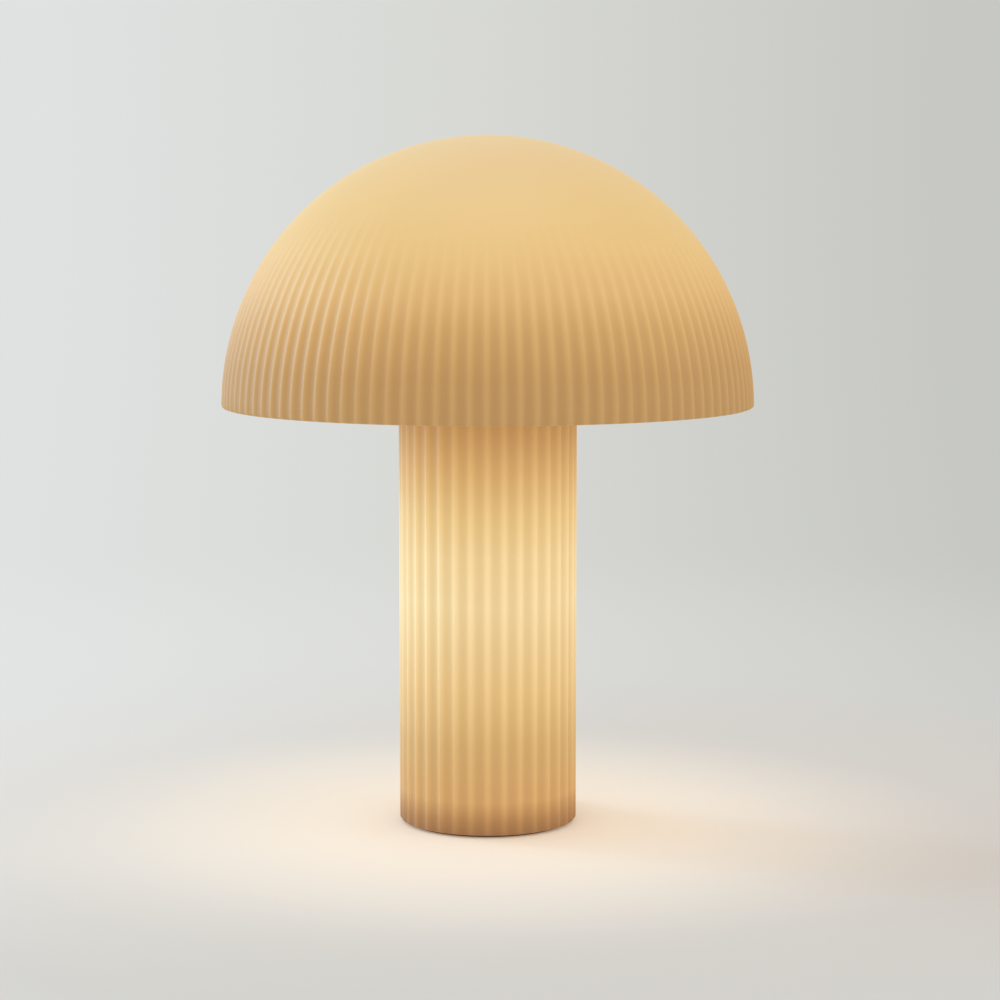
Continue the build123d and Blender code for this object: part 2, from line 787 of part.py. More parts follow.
def up_the_stem(side):
    """The last points of a lead that goes up the stem and turns out to a terminal."""
    x = side * lead_offset
    y = stem_radius + stem_approach
    return [(x, y, lead_z), (x, 0, lead_z), (x, 0, lead_top), (side * terminal_gap, 0, lead_top)]


def neutral_lead():
    """From the block's outer pole up the stem to the lampholder."""
    x = pole_places[0]
    start, lane = block_y[0] + lead_in_block, block_y[0] - lead_lane_gap
    return lead([(x, start, lead_z), (x, lane, lead_z), *up_the_stem(-1)], [lead_bend] * 4)


def dimmer_lead():
    """From the block's inner pole to the dimmer."""
    x = pole_places[1]
    end, corner = pin_line(0)
    points = [(x, block_y[0] + lead_in_block, lead_z), (x, corner[1], lead_z), corner, end]
    return lead(points, [tight_bend, lead_bend])


def live_lead():
    """From the dimmer up the stem to the lampholder."""
    return lead([*pin_line(1), *up_the_stem(1)], [lead_bend] * 4)


def along_grub(piece):
    """A piece modelled on Z, laid along the grub screw's line at the front of the holder's neck."""
    return Pos(0, 0, holder_z + grub_height - port_z) * outward(270) * piece


def holder_cap():
    """The lampholder's lower half, screwed on the stem, with a ledge for the core."""
    skirt = shell_bore - skirt_clearance
    seat = core_radius + core_clearance
    ledge = core_radius - core_ledge
    bore = stem_radius + thread_clearance
    low = stem_top - neck_step
    shoulder = low + floor_slope
    cap = turned(
        (bore, holder_z), (holder_neck_radius, holder_z), (holder_neck_radius, low),
        (holder_radius - holder_corner, shoulder), (holder_radius, shoulder + holder_corner),
        (holder_radius, shell_z), (skirt, shell_z), (skirt, cap_edge),
        (seat, cap_edge), (seat, core_z), (ledge, core_z),
        (ledge, holder_inside + floor_slope), (ledge - floor_slope, holder_inside), (bore, holder_inside),
    )
    return cap - along_grub(disc(grub_radius + thread_clearance, stem_radius - 1, holder_neck_radius + 1))


def holder_shell():
    """The lampholder's upper half, a plain sleeve with a lip inside that holds the core down."""
    lip_inner = sleeve_radius + thread_depth + sleeve_wall + lip_play
    lip_top = core_top + shell_lip
    return turned(
        (holder_radius, shell_z), (holder_radius, shell_top - shell_bead),
        (holder_radius - shell_bead, shell_top), (shell_bore, shell_top), (shell_bore, lip_top),
        (lip_inner, lip_top), (lip_inner, core_top), (shell_bore, core_top), (shell_bore, shell_z),
    )


def holder_core():
    """The ceramic core that carries the contacts and terminals."""
    core = disc(core_radius, core_z, core_top)
    return fillet(core.edges().group_by(Axis.Z)[0], core_round)


def holder_terminals():
    """Two brass posts under the core, where the leads end."""
    half = post_size / 2
    post = block((terminal_gap, terminal_gap + post_size), (-half, half), (terminal_z, core_z))
    hole = disc(post_hole + thread_clearance, terminal_z - 1, lead_top)
    return around((0, 180), 0, post - Pos(terminal_gap + half, 0, 0) * hole)


def holder_terminal_screws():
    """The screws in the posts."""
    head_z = terminal_z - post_screw_head_height
    body = disc(post_hole, terminal_z, lead_top - post_screw_gap)
    body += disc(post_screw_head, head_z, terminal_z)
    half_slot = post_screw_slot / 2
    slot = (head_z - 1, head_z + post_screw_slot_depth)
    body -= block((-post_screw_head, post_screw_head), (-half_slot, half_slot), slot)
    return around((0, 180), terminal_gap + post_size / 2, body)


def thread_wave(radius, low, high):
    """Points of a rolled thread's wavy outline, swelling in by its depth between the crests."""
    steps = round((high - low) / thread_pitch * 4)
    heights = [low + (high - low) * k / steps for k in range(steps + 1)]
    return [(radius + thread_depth / 2 * (1 - cos(2 * pi * (z - low) / thread_pitch)), z) for z in heights]


def wavy_tube(inner, low, high, wall):
    """A thin tube whose wall follows the rolled thread."""
    inside = thread_wave(inner, low, high)
    outside = [(radius + wall, z) for radius, z in inside]
    first, last = Spline(*inside), Spline(*outside)
    outline = first + Line(inside[-1], outside[-1]) + last + Line(outside[0], inside[0])
    return revolve(make_face(Plane.XZ * outline), Axis.Z)


def screw_sleeve():
    """The lampholder's threaded contact sleeve."""
    return wavy_tube(sleeve_radius, core_top, core_top + sleeve_length, sleeve_wall)


def centre_contact():
    """The sprung strip under the bulb's tip."""
    low, strip, high = core_top, contact_strip, core_top + contact_rise
    foot, knee = contact_foot, contact_knee
    outline = Plane.XZ * Polyline(
        (-contact_tail, low), (-foot, low), (-knee, high - strip), (contact_tip, high - strip),
        (contact_tip, high), (-knee - contact_lean, high), (-foot - contact_lean, low + strip),
        (-contact_tail, low + strip), close=True,
    )
    return extrude(make_face(outline), contact_width / 2, both=True)


def holder_grub_screw():
    """The grub screw that locks the lampholder on the stem."""
    inner, outer = stem_radius + thread_clearance, holder_neck_radius - grub_sink
    half_slot = grub_slot_width / 2
    body = disc(grub_radius, inner, outer)
    slot = (outer - grub_slot_depth, outer + 1)
    body -= block((-half_slot, half_slot), (-grub_radius, grub_radius), slot)
    return along_grub(body)


def bulb_contact():
    """The bulb's centre contact."""
    tip = disc(contact_radius, bulb_z, bulb_z + contact_height)
    return fillet(tip.edges().group_by(Axis.Z)[0], contact_height * 0.6)


def bulb_insulator():
    """The dark glass cone between the contact and the cap."""
    low = bulb_z + contact_height
    root = cap_thread_radius - thread_depth
    return turned((0, low), (contact_radius, low), (root - insulator_edge, cap_z), (0, cap_z))


def bulb_cap():
    """The rolled screw cap."""
    root = cap_thread_radius - thread_depth
    return wavy_tube(root - cap_wall, cap_z, cap_top, cap_wall)


def bulb_body():
    """The bulb's moulded body: a plug inside the cap and a flared cup up to the globe."""
    plug = cap_thread_radius - thread_depth - cap_wall - body_play
    shoulder = cap_thread_radius + body_step
    slopes = [(0.2, 1), (globe_neck / neck_radius, 1)]
    flare = Spline((shoulder, cap_top), (neck_radius, neck_z), tangents=slopes)
    seat = led_board_radius + led_board_play
    bore = plug - body_wall
    inner = [
        (neck_radius, neck_z), (seat, neck_z), (seat, led_board_z), (seat - led_board_rest, led_board_z),
        (bore, cap_top), (bore, cap_top - plug_depth), (plug, cap_top - plug_depth),
        (plug, cap_top), (shoulder, cap_top),
    ]
    return revolve(make_face(Plane.XZ * (flare + Polyline(*inner))), Axis.Z)


def bulb_globe():
    """The opal globe, open at its neck."""
    def cup(radius, low):
        """A ball about the globe's centre, cut flat at a height."""
        ball = Pos(0, 0, globe_z) * Sphere(radius)
        return ball - disc(globe_radius * 2, globe_z - globe_radius * 2, low)

    return cup(globe_radius, neck_z) - cup(globe_radius - globe_wall, neck_z - 1)


def led_board():
    """The round aluminium board under the globe."""
    top = led_board_z + led_board_thickness
    return ring(led_board_radius, led_board_hole, led_board_z, top)


def led_chips():
    """The ring of light-emitting chips."""
    top = led_board_z + led_board_thickness
    chip = Pos(0, 0, top + led_size[2] / 2) * Box(*led_size)
    return around([360 / led_count * k for k in range(led_count)], led_ring, chip)


def bulb_driver():
    """The driver in the bulb's body: an upright board, a capacitor and a choke."""
    low, high = cap_top - plug_depth + driver_ends[0], led_board_z - driver_ends[1]
    half_width, face = driver_board[0] / 2, driver_board[1] / 2
    board = block((-half_width, half_width), (-face, face), (low, high))
    radius, length = driver_capacitor
    foot = low + driver_capacitor_rise
    capacitor = Pos(0, face + driver_capacitor_gap + radius, 0) * disc(radius, foot, foot + length)
    half_choke, back, foot = driver_choke[0] / 2, -face - driver_choke_gap, low + driver_choke_rise
    choke = block((-half_choke, half_choke), (back - driver_choke[1], back), (foot, foot + driver_choke[2]))
    return [board, capacitor, choke]


parts = {
    "shade": shade(),
    "column": column(),
    "spider": spider(),
    "arm_pads": arm_pads(),
    "spider_screws": spider_screws(),
    "foot_ring": foot_ring(),
    "base_cover": base_cover(),
    "cover_screws": cover_screws(),
    "base_weight": base_weight(),
    "stem_tube": stem_tube(),
    "stem_nuts": stem_nuts(),
    "stem_washers": stem_washers(),
    "cord_grommet": cord_grommet(),
    "terminal_block": terminal_block(),
    "terminal_inserts": terminal_inserts(),
    "block_screws": block_screws(),
    "neutral_lead": neutral_lead(),
    "dimmer_lead": dimmer_lead(),
    "live_lead": live_lead(),
    "dimmer_case": dimmer_case(),
    "dimmer_back": dimmer_back(),
    "dimmer_board": dimmer_board(),
    "dimmer_parts": dimmer_parts(),
    "dimmer_pins": dimmer_pins(),
    "dimmer_bushing": dimmer_bushing(),
    "dimmer_nut": dimmer_nut(),
    "dimmer_shaft": dimmer_shaft(),
    "dimmer_wiper": dimmer_wiper(),
    "knob": knob(),
    "holder_cap": holder_cap(),
    "holder_shell": holder_shell(),
    "holder_core": holder_core(),
    "holder_terminals": holder_terminals(),
    "holder_terminal_screws": holder_terminal_screws(),
    "holder_grub_screw": holder_grub_screw(),
    "screw_sleeve": screw_sleeve(),
    "centre_contact": centre_contact(),
    "bulb_contact": bulb_contact(),
    "bulb_insulator": bulb_insulator(),
    "bulb_cap": bulb_cap(),
    "bulb_body": bulb_body(),
    "bulb_globe": bulb_globe(),
    "led_board": led_board(),
    "led_chips": led_chips(),
    "bulb_driver": bulb_driver(),
}

os.makedirs("parts", exist_ok=True)
for name, shape in parts.items():
    export_step(Compound(shape) if isinstance(shape, list) else shape, f"parts/{name}.step")
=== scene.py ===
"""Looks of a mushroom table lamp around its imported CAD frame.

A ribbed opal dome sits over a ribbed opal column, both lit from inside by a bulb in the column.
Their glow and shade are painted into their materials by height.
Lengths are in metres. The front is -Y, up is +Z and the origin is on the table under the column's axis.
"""
import json
import math

import bpy
import numpy as np
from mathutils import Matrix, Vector


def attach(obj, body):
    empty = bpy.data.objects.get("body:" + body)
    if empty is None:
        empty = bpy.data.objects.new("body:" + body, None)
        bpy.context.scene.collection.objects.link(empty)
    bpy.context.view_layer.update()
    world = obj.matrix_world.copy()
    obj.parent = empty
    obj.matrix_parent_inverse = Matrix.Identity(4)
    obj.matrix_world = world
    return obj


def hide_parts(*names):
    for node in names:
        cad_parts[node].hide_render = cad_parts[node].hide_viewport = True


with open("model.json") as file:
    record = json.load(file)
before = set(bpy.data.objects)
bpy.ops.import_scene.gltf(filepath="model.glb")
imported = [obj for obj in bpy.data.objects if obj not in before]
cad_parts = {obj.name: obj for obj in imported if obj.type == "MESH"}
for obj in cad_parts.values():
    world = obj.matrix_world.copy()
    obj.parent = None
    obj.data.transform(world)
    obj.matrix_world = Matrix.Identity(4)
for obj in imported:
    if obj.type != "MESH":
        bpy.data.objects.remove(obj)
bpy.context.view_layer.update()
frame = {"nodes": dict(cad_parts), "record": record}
nodes = frame["nodes"]
scene = bpy.context.scene

# Sizes that the shade's surface shares with the part's source.
SHADE_RADIUS = 0.150
SHADE_RISE = 0.152
SHADE_WALL = 0.0024
SHADE_RIBS = 108
SHADE_RIB_DEPTH = 0.0013
FADE_START, FADE_END = 12.0, 50.0
RIM_Z = 0.238
CREST_SHARPNESS = 1.8
CAVITY_RADIUS = SHADE_RADIUS - SHADE_RIB_DEPTH - SHADE_WALL
CAVITY_RISE = SHADE_RISE - SHADE_WALL
COLUMN_RIBS = 34
LUG_WIDTH, LUG_HEIGHT, LUG_REACH = 0.014, 0.006, 0.018
LUG_Z = 0.2474
LUG_GROOVE_HALF, LUG_GROOVE_DEPTH = 0.0032, 0.0012
ARM_AZIMUTHS = (90.0, 210.0, 330.0)


# ---------------------------------------------------------------- colours

def linear(red, green, blue):
    """Scene-linear colour, with alpha, from display values of 0 to 255."""
    display = np.array([red, green, blue]) / 255
    low = display / 12.92
    high = ((display + 0.055) / 1.055) ** 2.4
    return (*np.where(display <= 0.04045, low, high).tolist(), 1.0)


def grey(value):
    """A plain grey of this linear value, with alpha."""
    return (value, value, value, 1.0)


# ---------------------------------------------------------------- node helpers

class Nodes:
    """Adds nodes to one tree and joins them by socket names."""

    def __init__(self, tree):
        self.tree = tree
        self.made = 0

    def add(self, kind, settings=None, **inputs):
        """A node of this kind; inputs are socket names, with underscores for spaces, to values or sockets."""
        node = self.tree.nodes.new(kind)
        node.location = (220 * (self.made % 8), -260 * (self.made // 8))
        self.made += 1
        for name, value in (settings or {}).items():
            setattr(node, name, value)
        for name, value in inputs.items():
            self.join(value, node.inputs[name.replace("_", " ")])
        return node

    def join(self, value, socket):
        """Links an output socket, or sets a plain value."""
        if isinstance(value, bpy.types.NodeSocket):
            self.tree.links.new(value, socket)
        else:
            socket.default_value = value

    def maths(self, operation, *values):
        """One Math node; gives its output."""
        node = self.add("ShaderNodeMath", {"operation": operation})
        for value, socket in zip(values, node.inputs):
            self.join(value, socket)
        return node.outputs[0]

    def spread(self, value, low, high, to_low=0.0, to_high=1.0):
        """Smoothly maps a value between two limits."""
        node = self.add("ShaderNodeMapRange", {"interpolation_type": "SMOOTHSTEP"},
                        Value=value, From_Min=low, From_Max=high, To_Min=to_low, To_Max=to_high)
        return node.outputs["Result"]

    def mix(self, share, first, second, blend="MIX"):
        """One colour Mix node; gives its colour."""
        node = self.add("ShaderNodeMix", {"data_type": "RGBA", "blend_type": blend})
        live = {socket.name: socket for socket in node.inputs if socket.enabled}
        self.join(share, live["Factor"])
        self.join(first, live["A"])
        self.join(second, live["B"])
        return next(socket for socket in node.outputs if socket.enabled)

    def ramp(self, value, stops):
        """A colour ramp from (position, colour) pairs."""
        node = self.add("ShaderNodeValToRGB", {}, Fac=value)
        elements = node.color_ramp.elements
        while len(elements) < len(stops):
            elements.new(0.5)
        for element, (position, colour) in zip(elements, stops):
            element.position = position
            element.color = colour
        return node.outputs["Color"]


def group(name, inputs, outputs):
    """A new shader node group with these named sockets; gives it, its input node and its output node."""
    tree = bpy.data.node_groups.new(name, "ShaderNodeTree")
    for socket, (kind, value) in inputs.items():
        made = tree.interface.new_socket(socket, in_out="INPUT", socket_type=kind)
        if value is not None:
            made.default_value = value
    for socket, kind in outputs.items():
        tree.interface.new_socket(socket, in_out="OUTPUT", socket_type=kind)
    return tree, tree.nodes.new("NodeGroupInput"), tree.nodes.new("NodeGroupOutput")


FLOAT, VECTOR = "NodeSocketFloat", "NodeSocketVector"


def rib_crests():
    """Crest mask of ribs round the Z axis: one plus cosine of ribs times azimuth, halved and sharpened."""
    inputs = {"Place": (VECTOR, None), "Ribs": (FLOAT, float(COLUMN_RIBS))}
    tree, given, out = group("Rib crests", inputs, {"Crest": FLOAT})
    n = Nodes(tree)
    parts = n.add("ShaderNodeSeparateXYZ", {}, Vector=given.outputs["Place"])
    azimuth = n.maths("ARCTAN2", parts.outputs["Y"], parts.outputs["X"])
    phase = n.maths("MULTIPLY", n.maths("ADD", azimuth, math.pi / 2), given.outputs["Ribs"])
    half = n.maths("MULTIPLY_ADD", n.maths("COSINE", phase), 0.5, 0.5)
    n.join(n.maths("POWER", half, CREST_SHARPNESS), out.inputs["Crest"])
    return tree


def moulded_grain():
    """Fine moulded texture: two noises, a fine one for height and a broad one for tone and roughness."""
    tree, given, out = group(
        "Moulded grain",
        {"Place": (VECTOR, None), "Grain": (FLOAT, 1800.0), "Blotch": (FLOAT, 28.0), "Tone": (FLOAT, 0.04),
         "Roughness": (FLOAT, 0.45), "Roughness spread": (FLOAT, 0.06)},
        {"Tone": FLOAT, "Roughness": FLOAT, "Height": FLOAT},
    )
    n = Nodes(tree)
    place = given.outputs["Place"]
    fine = n.add("ShaderNodeTexNoise", {}, Vector=place, Scale=given.outputs["Grain"], Detail=2.0)
    broad = n.add("ShaderNodeTexNoise", {}, Vector=place, Scale=given.outputs["Blotch"], Detail=4.0)
    centred = n.maths("SUBTRACT", broad.outputs["Fac"], 0.5)
    tone = n.maths("MULTIPLY_ADD", centred, n.maths("MULTIPLY", given.outputs["Tone"], 2.0), 1.0)
    n.join(tone, out.inputs["Tone"])
    uneven = n.maths("ADD", centred, n.maths("SUBTRACT", fine.outputs["Fac"], 0.5))
    rough = n.maths("MULTIPLY_ADD", uneven, given.outputs["Roughness spread"], given.outputs["Roughness"])
    n.join(rough, out.inputs["Roughness"])
    n.join(fine.outputs["Fac"], out.inputs["Height"])
    return tree


CLOUD_SCALE = 90.0


def brushed_marks():
    """Turned or brushed metal: noise stretched along one way for height, with a cloudy noise for tone."""
    tree, given, out = group(
        "Brushed marks",
        {"Place": (VECTOR, None), "Scale": (FLOAT, 300.0), "Stretch": (VECTOR, (1.0, 1.0, 12.0)),
         "Tone": (FLOAT, 0.08), "Roughness": (FLOAT, 0.3), "Roughness spread": (FLOAT, 0.15)},
        {"Tone": FLOAT, "Roughness": FLOAT, "Height": FLOAT},
    )
    n = Nodes(tree)
    drawn = n.add("ShaderNodeVectorMath", {"operation": "MULTIPLY"})
    n.join(given.outputs["Place"], drawn.inputs[0])
    n.join(given.outputs["Stretch"], drawn.inputs[1])
    lines = n.add("ShaderNodeTexNoise", {}, Vector=drawn.outputs[0], Scale=given.outputs["Scale"], Detail=3.0)
    cloud = n.add("ShaderNodeTexNoise", {}, Vector=given.outputs["Place"], Scale=CLOUD_SCALE, Detail=5.0)
    uneven = n.maths("SUBTRACT", n.maths("ADD", lines.outputs["Fac"], cloud.outputs["Fac"]), 1.0)
    n.join(n.maths("MULTIPLY_ADD", uneven, given.outputs["Tone"], 1.0), out.inputs["Tone"])
    rough = n.maths("MULTIPLY_ADD", uneven, given.outputs["Roughness spread"], given.outputs["Roughness"])
    n.join(rough, out.inputs["Roughness"])
    n.join(lines.outputs["Fac"], out.inputs["Height"])
    return tree


CRESTS = rib_crests()
GRAIN = moulded_grain()
BRUSHED = brushed_marks()


# ---------------------------------------------------------------- materials

def new_material(name):
    """A material with an empty tree; gives it, its node helper, its shader and the Object coordinates."""
    material = bpy.data.materials.new(name)
    material.use_nodes = True
    tree = material.node_tree
    tree.nodes.clear()
    n = Nodes(tree)
    shader = n.add("ShaderNodeBsdfPrincipled")
    output = n.add("ShaderNodeOutputMaterial", {}, Surface=shader.outputs["BSDF"])
    output.is_active_output = True
    place = n.add("ShaderNodeTexCoord").outputs["Object"]
    return material, n, shader, place


def placed_group(n, tree, **inputs):
    """A group node of this tree, with its inputs joined."""
    return n.add("ShaderNodeGroup", {"node_tree": tree}, **inputs)


def bumped(n, shader, height, strength, distance):
    """Feeds a height through a Bump node to the shader's normal."""
    bump = n.add("ShaderNodeBump", {}, Height=height, Strength=strength, Distance=distance)
    n.join(bump.outputs["Normal"], shader.inputs["Normal"])


def toned(n, colour, tone):
    """A colour multiplied by a tone value."""
    plain = n.add("ShaderNodeCombineColor", {}, Red=tone, Green=tone, Blue=tone).outputs[0]
    return n.mix(1.0, colour, plain, "MULTIPLY")


# Painted light on the ribs: tints for painted shade in the flutes and a painted highlight on the crests, and
# the crest mask's mean, which keeps the written colour.
CREST_MEAN = 0.42
FLUTE_SHADE_PAINT = (0.930, 0.912, 0.875, 1.0)
CREST_HIGHLIGHT_PAINT = (1.100, 1.122, 1.175, 1.0)
OPAL_ROUGHNESS, OPAL_UNEVEN = 0.52, 0.08
OPAL_IOR, OPAL_SPECULAR = 1.49, 0.8
SATIN_BUMP, SATIN_DEPTH = 0.12, 0.0002


def opal(name, ribs, rows, fade, contrast=1.0, pigment=0.50, glow=0.50):
    """Satin opal polymer lit from inside.

    The colour follows height through rows of a height and a display colour, and is painted light: the glow
    of the bulb inside where its light comes through, and painted shade at the foot, under the dome and low
    in the dome. Rib crests get a painted highlight and flutes painted shade by the contrast, which fades out
    between the two heights of fade. Pigment is the share of the colour that reflects, and glow the share
    that shines.
    """
    material, n, shader, place = new_material(name)
    low, high = rows[0][0], rows[-1][0]
    height = n.add("ShaderNodeSeparateXYZ", {}, Vector=place).outputs["Z"]
    share = n.add("ShaderNodeMapRange", {}, Value=height, From_Min=low, From_Max=high).outputs["Result"]
    # Colour by height from the rows: painted glow of the bulb inside, and painted shade where darker.
    lit = n.ramp(share, [((z - low) / (high - low), linear(*colour)) for z, colour in rows])
    # Painted highlight on the rib crests and painted shade in the flutes, fading out up the dome.
    crest = placed_group(n, CRESTS, Place=place, Ribs=float(ribs)).outputs["Crest"]
    lean = n.maths("SUBTRACT", crest, CREST_MEAN)
    swing = n.maths("MULTIPLY", lean, n.spread(height, *fade, contrast, 0.0))
    tint = n.mix(n.maths("ADD", swing, CREST_MEAN), FLUTE_SHADE_PAINT, CREST_HIGHLIGHT_PAINT)
    grain = placed_group(n, GRAIN, Place=place, Grain=1500.0, Blotch=14.0, Tone=0.03,
                         Roughness=OPAL_ROUGHNESS, Roughness_spread=OPAL_UNEVEN)
    colour = toned(n, n.mix(1.0, lit, tint, "MULTIPLY"), grain.outputs["Tone"])
    n.join(n.mix(1.0, colour, grey(pigment), "MULTIPLY"), shader.inputs["Base Color"])
    n.join(colour, shader.inputs["Emission Color"])
    shader.inputs["Emission Strength"].default_value = glow
    n.join(grain.outputs["Roughness"], shader.inputs["Roughness"])
    shader.inputs["IOR"].default_value = OPAL_IOR
    shader.inputs["Specular IOR Level"].default_value = OPAL_SPECULAR
    bumped(n, shader, grain.outputs["Height"], SATIN_BUMP, SATIN_DEPTH)
    return material


# Heights in metres and the display colours there, from the rim or the foot up: the painted glow of the
# bulb's light through the opal, darker where it is painted shade.
SHADE_GLOW_PAINT_ROWS = (
    (0.238, (192, 146, 82)), (0.262, (197, 149, 81)), (0.284, (212, 163, 92)), (0.305, (228, 182, 111)),
    (0.325, (234, 192, 119)), (0.352, (233, 196, 127)), (0.390, (229, 197, 142)),
)
CAVITY_GLOW_PAINT_ROWS = (
    (0.238, (228, 186, 124)), (0.270, (240, 204, 146)), (0.320, (252, 226, 178)), (0.390, (255, 238, 202)),
)
COLUMN_GLOW_PAINT_ROWS = (
    (0.000, (150, 101, 55)), (0.009, (179, 127, 67)), (0.020, (213, 163, 96)), (0.050, (218, 175, 107)),
    (0.085, (240, 201, 134)), (0.130, (250, 222, 163)), (0.156, (248, 217, 155)), (0.180, (239, 203, 134)),
    (0.205, (221, 177, 107)), (0.241, (179, 131, 68)),
)
shade_outside = opal("opal_shade_outside", SHADE_RIBS, SHADE_GLOW_PAINT_ROWS, fade=(0.272, 0.338))
shade_inside = opal("opal_shade_inside", SHADE_RIBS, CAVITY_GLOW_PAINT_ROWS, fade=(0.300, 0.355),
                    contrast=0.0, pigment=0.60, glow=0.60)
column_opal = opal("opal_column", COLUMN_RIBS, COLUMN_GLOW_PAINT_ROWS, fade=(0.300, 0.355))


COAT_ROUGHNESS = 0.12
POLYMER_DEPTH, METAL_DEPTH, GLOWING_DEPTH = 0.0003, 0.0002, 0.0002


def polymer(name, colour, roughness, grain=1200.0, bump=0.1, tone=0.04, coat=0.0):
    """Moulded plastic, resin or rubber with a fine grain."""
    material, n, shader, place = new_material(name)
    marks = placed_group(n, GRAIN, Place=place, Grain=grain, Blotch=60.0, Tone=tone, Roughness=roughness)
    n.join(toned(n, (*colour, 1.0), marks.outputs["Tone"]), shader.inputs["Base Color"])
    n.join(marks.outputs["Roughness"], shader.inputs["Roughness"])
    shader.inputs["Coat Weight"].default_value = coat
    shader.inputs["Coat Roughness"].default_value = COAT_ROUGHNESS
    bumped(n, shader, marks.outputs["Height"], bump, POLYMER_DEPTH)
    return material


EVEN, TURNED = (1.0, 1.0, 1.0), (1.0, 1.0, 12.0)


def metal(name, colour, roughness, stretch=TURNED, scale=300.0, bump=0.08, tone=0.1):
    """Plated, turned or brushed metal, with its marks squeezed along each axis by the stretch."""
    material, n, shader, place = new_material(name)
    marks = placed_group(n, BRUSHED, Place=place, Scale=scale, Stretch=stretch, Tone=tone,
                         Roughness=roughness)
    n.join(toned(n, (*colour, 1.0), marks.outputs["Tone"]), shader.inputs["Base Color"])
    n.join(marks.outputs["Roughness"], shader.inputs["Roughness"])
    shader.inputs["Metallic"].default_value = 1.0
    bumped(n, shader, marks.outputs["Height"], bump, METAL_DEPTH)
    return material


def glowing(name, colour, light, strength, roughness):
    """Frosted polymer or phosphor that gives light."""
    material, n, shader, place = new_material(name)
    marks = placed_group(n, GRAIN, Place=place, Grain=900.0, Blotch=40.0, Tone=0.05, Roughness=roughness)
    n.join(toned(n, (*colour, 1.0), marks.outputs["Tone"]), shader.inputs["Base Color"])
    n.join(toned(n, (*light, 1.0), marks.outputs["Tone"]), shader.inputs["Emission Color"])
    shader.inputs["Emission Strength"].default_value = strength
    n.join(marks.outputs["Roughness"], shader.inputs["Roughness"])
    bumped(n, shader, marks.outputs["Height"], 0.1, GLOWING_DEPTH)
    return material


POLYMERS = {
    "spider_resin": dict(colour=(0.78, 0.70, 0.56), roughness=0.42),
    "pad_silicone": dict(colour=(0.80, 0.78, 0.72), roughness=0.6, bump=0.05),
    # Foot rubber dark brown: partly its own colour, partly a painted warm tint of the shaded gap under the
    # column.
    "foot_rubber": dict(colour=(0.07, 0.045, 0.03), roughness=0.75, grain=700.0, bump=0.25, tone=0.15),
    "cover_steel": dict(colour=(0.52, 0.39, 0.25), roughness=0.55, grain=500.0, bump=0.35, tone=0.05),
    "grommet_rubber": dict(colour=(0.56, 0.43, 0.28), roughness=0.62, grain=900.0, bump=0.15, tone=0.06),
    "block_nylon": dict(colour=(0.84, 0.83, 0.78), roughness=0.35),
    "lead_blue": dict(colour=(0.05, 0.16, 0.46), roughness=0.4, grain=600.0, bump=0.05),
    "lead_brown": dict(colour=(0.16, 0.075, 0.04), roughness=0.4, grain=600.0, bump=0.05),
    "dimmer_black": dict(colour=(0.035, 0.035, 0.038), roughness=0.5, grain=900.0, bump=0.2, tone=0.1),
    "board_green": dict(colour=(0.03, 0.20, 0.10), roughness=0.3, grain=300.0, bump=0.05, tone=0.1, coat=0.4),
    "parts_dark": dict(colour=(0.05, 0.05, 0.055), roughness=0.45),
    "shaft_nylon": dict(colour=(0.80, 0.79, 0.74), roughness=0.4),
    "knob_cream": dict(colour=(0.66, 0.50, 0.31), roughness=0.4, grain=1100.0, bump=0.12, tone=0.05),
    "holder_ivory": dict(colour=(0.80, 0.78, 0.72), roughness=0.25, grain=600.0, bump=0.05, coat=0.3),
    "core_ceramic": dict(colour=(0.86, 0.85, 0.80), roughness=0.18, grain=200.0, bump=0.08, tone=0.06,
                         coat=0.6),
    "bulb_glass": dict(colour=(0.02, 0.02, 0.03), roughness=0.1, grain=200.0, bump=0.05, tone=0.1, coat=0.8),
    "bulb_white": dict(colour=(0.86, 0.85, 0.82), roughness=0.35),
    "board_aluminium": dict(colour=(0.84, 0.84, 0.82), roughness=0.35),
}
METALS = {
    "screw_steel": dict(colour=(0.66, 0.66, 0.67), roughness=0.3, stretch=EVEN, scale=700.0),
    "weight_steel": dict(colour=(0.36, 0.36, 0.37), roughness=0.42, stretch=(1.0, 1.0, 6.0), scale=160.0,
                         bump=0.2, tone=0.2),
    "stem_steel": dict(colour=(0.62, 0.62, 0.63), roughness=0.28),
    "nut_brass": dict(colour=(0.78, 0.58, 0.28), roughness=0.3, stretch=EVEN, scale=500.0),
    "contact_brass": dict(colour=(0.80, 0.62, 0.30), roughness=0.25, stretch=EVEN, scale=600.0),
    "bushing_nickel": dict(colour=(0.70, 0.68, 0.64), roughness=0.22, stretch=EVEN, scale=600.0),
    "bulb_tip": dict(colour=(0.58, 0.57, 0.54), roughness=0.35, stretch=EVEN, scale=400.0),
    "bulb_nickel": dict(colour=(0.74, 0.73, 0.70), roughness=0.22),
}
LIT_PIECES = {
    "bulb_opal": dict(colour=(0.50, 0.45, 0.36), light=(1.0, 0.76, 0.45), strength=0.62, roughness=0.5),
    "chip_phosphor": dict(colour=(0.90, 0.66, 0.14), light=(1.0, 0.75, 0.35), strength=1.5, roughness=0.4),
}
FINISHES = {"opal_column": column_opal, "opal_shade": shade_outside}
for make, looks in ((polymer, POLYMERS), (metal, METALS), (glowing, LIT_PIECES)):
    for slot_name, look in looks.items():
        FINISHES[slot_name] = make(slot_name, **look)
for subpart in frame["record"]["subparts"]:
    mesh = nodes[subpart["node"]].data
    mesh.materials.clear()
    mesh.materials.append(FINISHES[subpart["material_slot"]])


# ---------------------------------------------------------------- the shade

